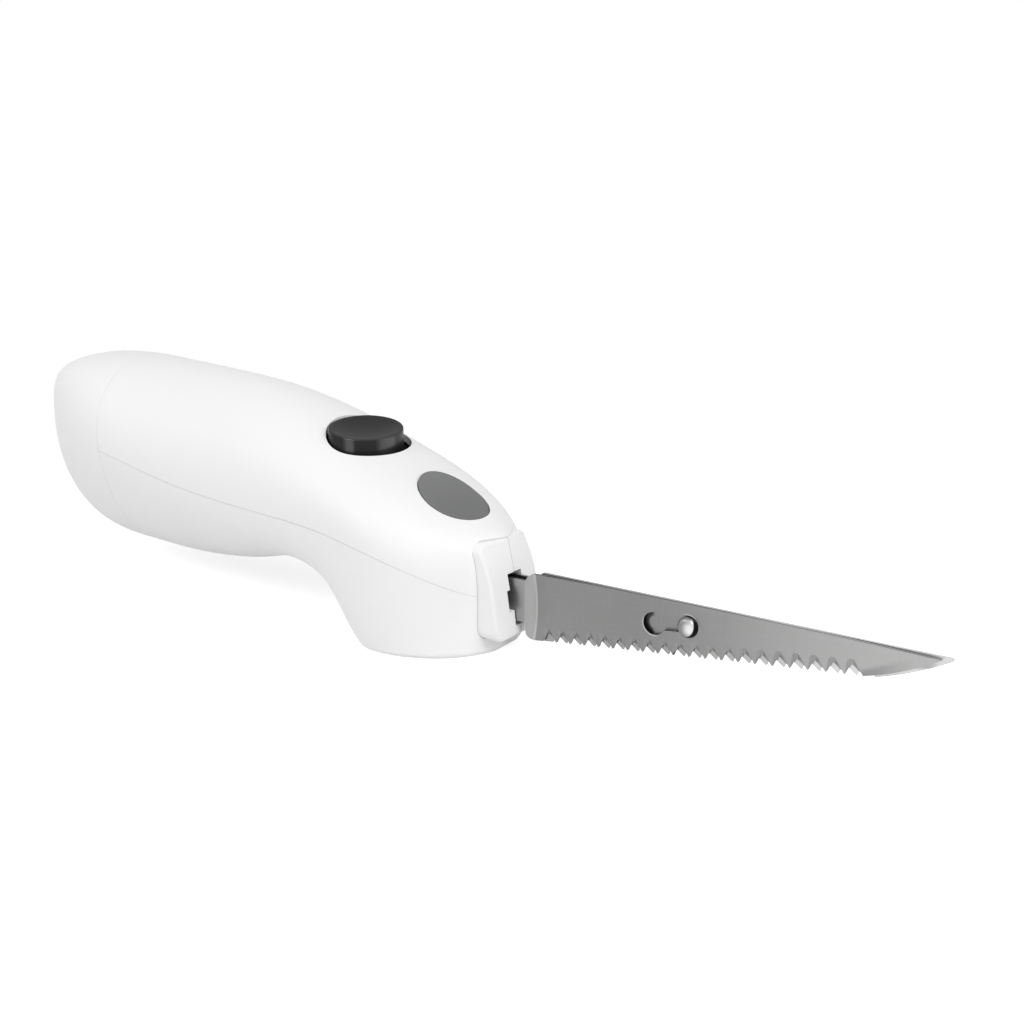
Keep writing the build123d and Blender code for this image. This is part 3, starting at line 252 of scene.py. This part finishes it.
def white_plastic():
    """Satin white moulding of the housing, with a faint flow in its colour and a fine peel."""
    finish = Finish("white_plastic")
    flow = finish.place.noise(14.0, 2.0, 0.5, (0.3, 1.0, 1.0))
    peel = finish.place.noise(1800.0, 2.0, 0.6)
    finish.set(
        Base_Color=flow.smooth(0.3, 0.7).tint(*pair((0.915, 0.917, 0.913), (0.928, 0.929, 0.925))),
        Roughness=0.36 + flow * 0.06 + peel * 0.05,
        Specular_IOR_Level=0.14,
    )
    return finish.bump(peel, 0.000004, 0.2)


def switch_black():
    """Black thumb switch: fine grain in the dish, and walls with polished upright streaks."""
    finish = Finish("switch_black")
    grain = finish.place.noise(5200.0, 2.0, 0.6)
    clouds = finish.place.noise(160.0, 3.0)
    up = finish.facing()[2]
    dish = up.smooth(0.45, 0.8)
    side = finish.y.size()
    end_streak = (side - switch_half_width).size().smooth(1.6 * mm, 0.3 * mm)
    front = finish.x.smooth(switch_front_x, switch_front_x + 2 * mm)
    front_streak = front * side.smooth(6.2 * mm, 1.8 * mm)
    polish = (1 - dish) * end_streak.most(front_streak * 0.9) * 0.65
    finish.set(
        Base_Color=clouds.tint(*pair((0.010, 0.010, 0.010), (0.018, 0.018, 0.018))),
        Roughness=0.32 + dish * 0.2 + clouds * 0.06,
        Specular_IOR_Level=0.2,
        Coat_Weight=polish,
        Coat_Roughness=0.2,
        Coat_IOR=1.9,
    )
    return finish.bump(grain * dish, 0.00003, 0.4)


def release_grey():
    """Matt mid-grey button with a fine spark-eroded grain."""
    finish = Finish("release_grey")
    grain = finish.place.noise(4200.0, 3.0, 0.65)
    clouds = finish.place.noise(90.0, 3.0)
    # Painted light: the button is lighter towards its rear
    rear = finish.x.smooth(release_front_x, release_rear_x)
    colour = (rear * 0.6 + clouds * 0.25 + grain * 0.15).tint(
        *pair((0.150, 0.152, 0.153), (0.208, 0.210, 0.210))
    )
    finish.set(Base_Color=colour, Roughness=0.5 + grain * 0.14, Specular_IOR_Level=0.3)
    return finish.bump(grain, 0.00004, 0.5)


class BladeSteel(Finish):
    """Ground stainless steel: grinding lines, painted reflection that grows lighter towards the point,
    painted light and shade in the hollows at the teeth, painted shade on the point's bevel, and a tang
    with painted light, a painted highlight at the joggle's edge and painted shade where it runs into
    the nose's slot.
    """

    def __init__(self, node):
        super().__init__(node + "_steel")
        self.tang_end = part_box(node)[0].x
        self.reach = self.x - self.tang_end
        self.above_teeth = self.z - first_tooth_z - (self.reach - first_tooth) * tooth_slope
        self.facing_y, self.facing_z = self.facing()[1:]
        self.lines = self.place.noise(900.0, 3.0, 0.6, (3.0, 1.0, 0.06))
        self.long_lines = self.place.noise(700.0, 2.0, 0.6, (0.04, 1.0, 2.4))
        self.clouds = self.place.noise(40.0, 3.0, 0.6)
        # Painted reflection: lighter from the heel towards the point
        self.along = self.reach.smooth(painted_sheen_start, painted_sheen_end)
        # Painted light on the tang behind the joggle's curved edge, and a painted highlight along that
        # edge
        across = (self.z - blade_middle_z) * (1 / blade_half_height)
        crease = self.reach + across * across * joggle_curve
        step_out = crease - joggle_end - joggle_curve
        tang = step_out.smooth(0.2 * mm, -0.2 * mm)
        glint = (step_out + 0.4 * mm).size().smooth(0.6 * mm, 0.1 * mm)
        # Painted shade on the tang inside the nose's slot
        painted_shade = self.reach.smooth(slot_shade_end, slot_shade_start)
        slant = self.facing_y.size().smooth(0.99, 0.95)
        toothed = self.reach.smooth(heel_end, heel_end + 0.4 * mm)
        toothed = toothed * self.reach.smooth(point_start + 2 * mm, point_start)
        low = self.above_teeth.smooth(hollow_height + 0.5 * mm, hollow_height - 0.5 * mm)
        # Painted light in the hollows near the heel, painted shade in them towards the point
        shade = self.reach.smooth(hollow_painted_shade_start, hollow_painted_shade_end) * 0.33 - 0.12
        hollow = slant * toothed * low * shade
        # Painted shade on the bevel at the point
        point = self.reach.smooth(point_start - 12 * mm, point_start + 2 * mm)
        point = point * self.reach.smooth(point_end, point_start + 2 * mm)
        under = self.above_teeth - (self.reach - point_start) * point_slope
        bevel = point * under.smooth(bevel_height, 0.4 * mm)
        self.grey = heel_grey + self.along * painted_point_sheen + tang * painted_tang_light + glint * painted_edge_glint
        self.grey = self.grey * (1 - hollow - bevel * 0.3 - painted_shade * 0.3)

    def lobe(self, keyhole, shift=0.0):
        """Distance from the middle of one lobe of the keyhole."""
        return self.away_from(self.tang_end + keyhole[0] + shift, keyhole[1])

    def finish_off(self):
        grain = (self.lines - 0.5) * 0.05 + (self.long_lines - 0.5) * 0.03 + (self.clouds - 0.5) * 0.03
        self.set(
            Base_Color=(self.grey + grain).tint(*pair((0.0, 0.0, 0.0), (1.0, 1.0, 0.995))),
            Roughness=0.27 + self.lines * 0.12 + self.clouds * 0.06,
            Metallic=1.0,
        )
        return self.bump(self.lines * 0.7 + self.long_lines * 0.3, 0.00001, 0.2)


def near_blade():
    """Right blade: painted shade on the outer edge of its back and painted light on the inner half,
    painted highlight arcs at its keyhole's rim, and painted shade on the keyhole's walls.
    """
    steel = BladeSteel("blade_right")
    rear, front = steel.lobe(keyhole_rear), steel.lobe(keyhole_front)
    # Painted shade on the keyhole's walls
    close = rear.smooth(4.6 * mm, 4.2 * mm).most(front.smooth(4.6 * mm, 4.2 * mm))
    walls = close.most(rear.smooth(12.5 * mm, 12 * mm) * front.smooth(12.5 * mm, 12 * mm))
    walls = walls * steel.facing_y.size().smooth(0.6, 0.3)
    # Painted highlight arcs on the keyhole's rim, at the rear lobe's lower rear and the front lobe's
    # upper front
    rear_turn = keyhole_rear[0] - steel.reach + (keyhole_rear[1] - steel.z)
    front_turn = steel.reach - keyhole_front[0] + (steel.z - keyhole_front[1])
    rear_rim = rear.smooth(keyhole_rear[2] + 0.5 * mm, keyhole_rear[2] + 0.2 * mm)
    front_rim = front.smooth(keyhole_front[2] + 0.5 * mm, keyhole_front[2] + 0.2 * mm)
    rear_rim = rear_rim * rear_turn.smooth(1 * mm, 4 * mm)
    rim = rear_rim.most(front_rim * front_turn.smooth(1 * mm, 4 * mm))
    # Painted shade along the outer edge of the back and painted light on its inner half, both lighter
    # towards the point
    back = steel.facing_z.smooth(0.6, 0.9) * (1 - close)
    arris = steel.y.smooth(-0.4 * mm, -0.5 * mm)
    steel.grey = (steel.grey + rim * 0.25) * (1 - walls * 0.85) * (1 - back)
    dark, light = 0.02 + steel.along * 0.2, 0.36 + steel.along * 0.3
    steel.grey = steel.grey + back * (dark * arris + light * (1 - arris))
    return steel.finish_off()


def far_blade():
    """Left blade, with painted light along its back, on the inner faces of its teeth and at its point,
    and painted shadow on its inner face about the keyhole where the stud runs.
    """
    steel = BladeSteel("blade_left")
    # Painted light on the inner faces of its teeth and at its point
    inner = steel.facing_y.smooth(-0.5, -0.9)
    teeth = steel.above_teeth.smooth(4.5 * mm, 3 * mm) * (0.3 + steel.along * 0.7)
    tip = steel.reach.smooth(point_end - 2 * mm, point_end + 1 * mm)
    # Painted light along its back, lighter towards the point
    back = steel.facing_z.smooth(0.6, 0.9)
    rear, front = steel.lobe(keyhole_rear, -blade_offset), steel.lobe(keyhole_front, -blade_offset)
    rear_x, front_x = keyhole_rear[0] - blade_offset, keyhole_front[0] - blade_offset
    # Painted shadow in two crescents on its inner face, seen through the right blade's keyhole
    behind = steel.reach.smooth(rear_x, rear_x - 1.5 * mm)
    ahead = steel.reach.smooth(front_x, front_x + 2 * mm)
    keyhole_painted_shadow = behind * rear.smooth(1.8 * mm, 2.6 * mm) * rear.smooth(5.2 * mm, 4.6 * mm)
    keyhole_painted_shadow = keyhole_painted_shadow.most(ahead * front.smooth(2.2 * mm, 2.8 * mm) * front.smooth(4.8 * mm, 4.2 * mm))
    steel.grey = steel.grey + inner * teeth.most(tip * 0.75) * 0.3
    steel.grey = steel.grey * (1 - back) + back * (0.36 + steel.along * 0.34)
    steel.grey = steel.grey * (1 - inner * keyhole_painted_shadow * 0.8)
    return steel.finish_off()


def stud_steel_painted_light():
    """Domed stud with a painted highlight on its crown, darker to the rim, and a painted shadow where
    it meets the keyhole.
    """
    finish = Finish("stud_steel_painted_light")
    low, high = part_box("blade_stud")
    middle = (low + high) / 2
    marks = finish.place.noise(1600.0, 3.0, 0.6)
    # Painted highlight on the crown, off the middle towards the front, falling off to a darker rim
    crown = finish.away_from(middle.x + 1.5 * mm, middle.z - 0.1 * mm).smooth(3.2 * mm, 0.6 * mm)
    # Painted shadow along the stud's front edge, where it meets the keyhole
    painted_shade = finish.away_from(middle.x - 1.0 * mm, middle.z + 0.5 * mm).smooth(3.3 * mm, 3.6 * mm)
    steel = (crown * 0.9 + marks * 0.1).tint(*pair((0.22, 0.22, 0.225), (0.82, 0.82, 0.82)))
    finish.set(
        Base_Color=painted_shade.tint(steel, (0.012, 0.012, 0.012, 1.0)),
        Roughness=0.38 + marks * 0.06 + painted_shade * 0.2,
        Metallic=1.0,
    )
    return finish.bump(marks, 0.000004, 0.2)


def bright_metal(name, dark, light, gloss):
    """Turned, drawn or plated metal with fine marks."""
    finish = Finish(name)
    marks = finish.place.noise(600.0, 3.0, 0.6)
    clouds = finish.place.noise(120.0, 3.0)
    finish.set(
        Base_Color=(marks * 0.5 + clouds * 0.5).tint(*pair(dark, light)),
        Roughness=gloss + marks * 0.14,
        Metallic=1.0,
    )
    return finish.bump(marks, 0.00001, 0.3)


def moulded(name, dark, light, gloss):
    """Plain engineering plastic with a fine grain."""
    finish = Finish(name)
    grain = finish.place.noise(2400.0, 3.0, 0.6)
    clouds = finish.place.noise(110.0, 3.0)
    finish.set(
        Base_Color=(grain * 0.4 + clouds * 0.6).tint(*pair(dark, light)),
        Roughness=gloss + grain * 0.15,
    )
    return finish.bump(grain, 0.00003, 0.5)


def cell_sleeve():
    """Green shrink sleeve with the plated ends of each cell left bare."""
    finish = Finish("cell_sleeve")
    wrinkle = finish.place.noise(300.0, 3.0, 0.6, (0.3, 1.0, 1.0))
    ends = finish.facing()[0].size().smooth(0.85, 0.95)
    sleeve = wrinkle.tint(*pair((0.03, 0.16, 0.08), (0.05, 0.24, 0.12)))
    finish.set(
        Base_Color=ends.tint(sleeve, (0.55, 0.55, 0.54, 1.0)),
        Roughness=0.28 + wrinkle * 0.12,
        Metallic=ends,
    )
    return finish.bump(wrinkle * (1 - ends), 0.00003, 0.4)


def board_laminate():
    """Green laminate with rows of tinned solder points on its two faces."""
    finish = Finish("board_laminate")
    weave = finish.place.noise(1500.0, 2.0, 0.6)
    nearest = finish.place.node(
        "ShaderNodeTexVoronoi",
        None,
        {"Vector": finish.place, "Scale": 240.0, "Randomness": 0.35},
        out="Distance",
    )
    points = finish.facing()[0].size().smooth(0.85, 0.95) * nearest.smooth(0.26, 0.22)
    green = weave.tint(*pair((0.012, 0.10, 0.04), (0.02, 0.15, 0.06)))
    finish.set(
        Base_Color=points.tint(green, (0.62, 0.62, 0.60, 1.0)),
        Roughness=0.34 + weave * 0.1,
        Metallic=points,
    )
    return finish.bump(points, 0.0001, 0.5)


def inlet_black():
    """Black charging inlet with a plated pin in its middle."""
    finish = Finish("inlet_black")
    low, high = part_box("charge_jack")
    axis_z = (low.z + high.z) / 2
    grain = finish.place.noise(2400.0, 3.0, 0.6)
    rise = finish.z - axis_z
    pin_area = inlet_pin_radius**2
    pin = (finish.y * finish.y + rise * rise).smooth(pin_area * 1.3, pin_area * 1.1)
    black = grain.tint(*pair((0.012, 0.012, 0.013), (0.026, 0.026, 0.028)))
    finish.set(
        Base_Color=pin.tint(black, (0.66, 0.65, 0.62, 1.0)),
        Roughness=0.42 + grain * 0.15 - pin * 0.15,
        Metallic=pin,
    )
    return finish.bump(grain * (1 - pin), 0.00003, 0.4)


white_plastic().dress("upper_shell", "lower_shell", "rear_cap", "nose_right", "nose_left")
switch_black().dress("thumb_switch")
release_grey().dress("release_button")
near_blade().dress("blade_right")
far_blade().dress("blade_left")
stud_steel_painted_light().dress("blade_stud")
bright_metal("catch_plate", (0.42, 0.42, 0.43), (0.58, 0.58, 0.58), 0.32).dress(
    "catch_right", "catch_left", "wheel_axle", "housing_screws"
)
bright_metal("worm_brass", (0.50, 0.36, 0.14), (0.66, 0.50, 0.22), 0.25).dress("worm_shaft")
bright_metal("bush_bronze", (0.36, 0.22, 0.10), (0.50, 0.32, 0.16), 0.42).dress("worm_bush")
bright_metal("can_zinc", (0.46, 0.47, 0.48), (0.62, 0.63, 0.64), 0.36).dress("motor_can")
moulded("driver_acetal", (0.045, 0.045, 0.047), (0.075, 0.075, 0.078), 0.42).dress(
    "driver_right", "driver_left"
)
moulded("wheel_acetal", (0.70, 0.68, 0.60), (0.80, 0.78, 0.70), 0.36).dress("worm_wheel")
moulded("frame_nylon", (0.03, 0.03, 0.032), (0.055, 0.055, 0.058), 0.5).dress(
    "gear_frame", "motor_end_cap", "micro_switch"
)
inlet_black().dress("charge_jack")
moulded("tray_grey", (0.16, 0.165, 0.17), (0.22, 0.225, 0.23), 0.5).dress("battery_tray")
cell_sleeve().dress("battery_cells")
board_laminate().dress("circuit_board")


def spring_coil(name, place):
    """One return spring of the release button, a wire wound with closed end turns."""
    sides, steps = 8, 132
    rise = spring_height - 2 * spring_wire
    line = []
    for step in range(steps + 1):
        share = step / steps
        turns = share * spring_turns
        climb = (turns - spring_closed_turns) / (spring_turns - 2 * spring_closed_turns)
        climb = min(max(climb, 0.0), 1.0)
        line.append(
            Vector(
                (
                    place[0] + spring_radius * math.cos(turns * math.tau),
                    place[1] + spring_radius * math.sin(turns * math.tau),
                    spring_foot_z + spring_wire + climb * rise,
                )
            )
        )
    points, faces = [], []
    for step, centre in enumerate(line):
        ahead = line[min(step + 1, steps)] - line[max(step - 1, 0)]
        out = Vector((centre.x - place[0], centre.y - place[1], 0.0)).normalized()
        up = ahead.normalized().cross(out)
        for side in range(sides):
            angle = side / sides * math.tau
            points.append(centre + spring_wire * (math.cos(angle) * out + math.sin(angle) * up))
    for step in range(steps):
        for side in range(sides):
            beside = (side + 1) % sides
            a, b = step * sides + side, step * sides + beside
            faces.append((a, b, b + sides, a + sides))
    faces.append(tuple(range(sides))[::-1])
    faces.append(tuple(range(steps * sides, (steps + 1) * sides)))
    mesh = bpy.data.meshes.new(name)
    mesh.from_pydata(points, [], faces)
    for polygon in mesh.polygons:
        polygon.use_smooth = True
    coil = bpy.data.objects.new(name, mesh)
    bpy.context.scene.collection.objects.link(coil)
    return coil


spring_finish = bright_metal("spring_wire", (0.40, 0.40, 0.41), (0.56, 0.56, 0.56), 0.22)
for side, place in zip(("right", "left"), spring_places):
    coil = spring_coil(f"release_spring_{side}", place)
    coil.data.materials.append(spring_finish.material)
    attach(coil, "housing")
    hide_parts("release_springs")
    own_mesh(coil)


def stage_floor():
    """Pale floor that reads as white, with the knife's soft shadow on it."""
    mesh = bpy.data.meshes.new("floor")
    corners = [(x * floor_reach, y * floor_reach, 0.0) for x, y in ((-1, -1), (1, -1), (1, 1), (-1, 1))]
    mesh.from_pydata(corners, [], [(0, 1, 2, 3)])
    floor = bpy.data.objects.new("floor", mesh)
    floor.location.z = -floor_drop
    bpy.context.scene.collection.objects.link(floor)
    material = bpy.data.materials.new("floor_paper")
    material.use_nodes = True
    tree = material.node_tree
    tree.nodes.clear()
    base = Signal(tree)
    paper = base.node("ShaderNodeBsdfDiffuse", None, {"Color": (0.86, 0.86, 0.86, 1.0)})
    straight, seen = seen_as_backdrop(base)
    glow = base.node(
        "ShaderNodeEmission", None, {"Color": (1, 1, 1, 1), "Strength": straight * 0.35 + seen * 0.27}
    )
    lit_paper = base.node("ShaderNodeAddShader", None, {0: paper, 1: glow})
    white = base.node("ShaderNodeEmission", None, {"Color": (1, 1, 1, 1), "Strength": 1.0})
    place = base.node("ShaderNodeTexCoord", out="Object")
    away = place.node("ShaderNodeVectorMath", {"operation": "LENGTH"}, {0: place}, out="Value")
    far_off = seen * away.smooth(shadow_reach, white_reach)
    both = base.node("ShaderNodeMixShader", None, {0: far_off, 1: lit_paper, 2: white})
    out = tree.nodes.new("ShaderNodeOutputMaterial")
    tree.links.new(both.socket, out.inputs["Surface"])
    mesh.materials.append(material)


def seen_as_backdrop(base):
    """1 for what the camera sees straight, and 1 for that, in a gloss or through a clear piece."""
    path = base.node("ShaderNodeLightPath").socket.node.outputs
    straight, gloss, clear = (
        Signal(base.tree, path[name])
        for name in ("Is Camera Ray", "Is Glossy Ray", "Is Transmission Ray")
    )
    return straight, straight.most(gloss.most(clear))


def studio_world():
    """White all round for what is seen, and an even soft light for the rest."""
    world = bpy.data.worlds.new("studio")
    world.use_nodes = True
    bpy.context.scene.world = world
    tree = world.node_tree
    background = tree.nodes["Background"]
    background.inputs["Color"].default_value = (1.0, 1.0, 1.0, 1.0)
    seen = seen_as_backdrop(Signal(tree))[1]
    strength = 0.33 + seen * 0.67
    tree.links.new(strength.socket, background.inputs["Strength"])


def softbox(name, place, power):
    """A soft lamp that looks at the handle."""
    lamp = bpy.data.lights.new(name, "AREA")
    lamp.shape = "RECTANGLE"
    lamp.size, lamp.size_y = softbox_size
    lamp.energy = power
    box = bpy.data.objects.new(name, lamp)
    box.location = place
    box.rotation_euler = (Vector(softbox_aim) - Vector(place)).to_track_quat("-Z", "Y").to_euler()
    bpy.context.scene.collection.objects.link(box)


def photo_camera():
    """The photograph's own view, from the front right and a little above."""
    lens = bpy.data.cameras.new("photo_camera")
    lens.sensor_width = camera_sensor_mm
    lens.lens = camera_lens_mm
    camera = bpy.data.objects.new("photo_camera", lens)
    camera.location = camera_place
    camera.rotation_euler = camera_turn
    bpy.context.scene.collection.objects.link(camera)
    bpy.context.scene.camera = camera


stage_floor()
studio_world()
softbox("front_right", (0.572, -0.354, 0.883), 4.25)
softbox("rear_right", (-0.491, -0.780, 0.671), 3.7)
softbox("front", (0.913, 0.0, 0.590), 2.85)
photo_camera()

view = bpy.context.scene.view_settings
view.view_transform = "Standard"
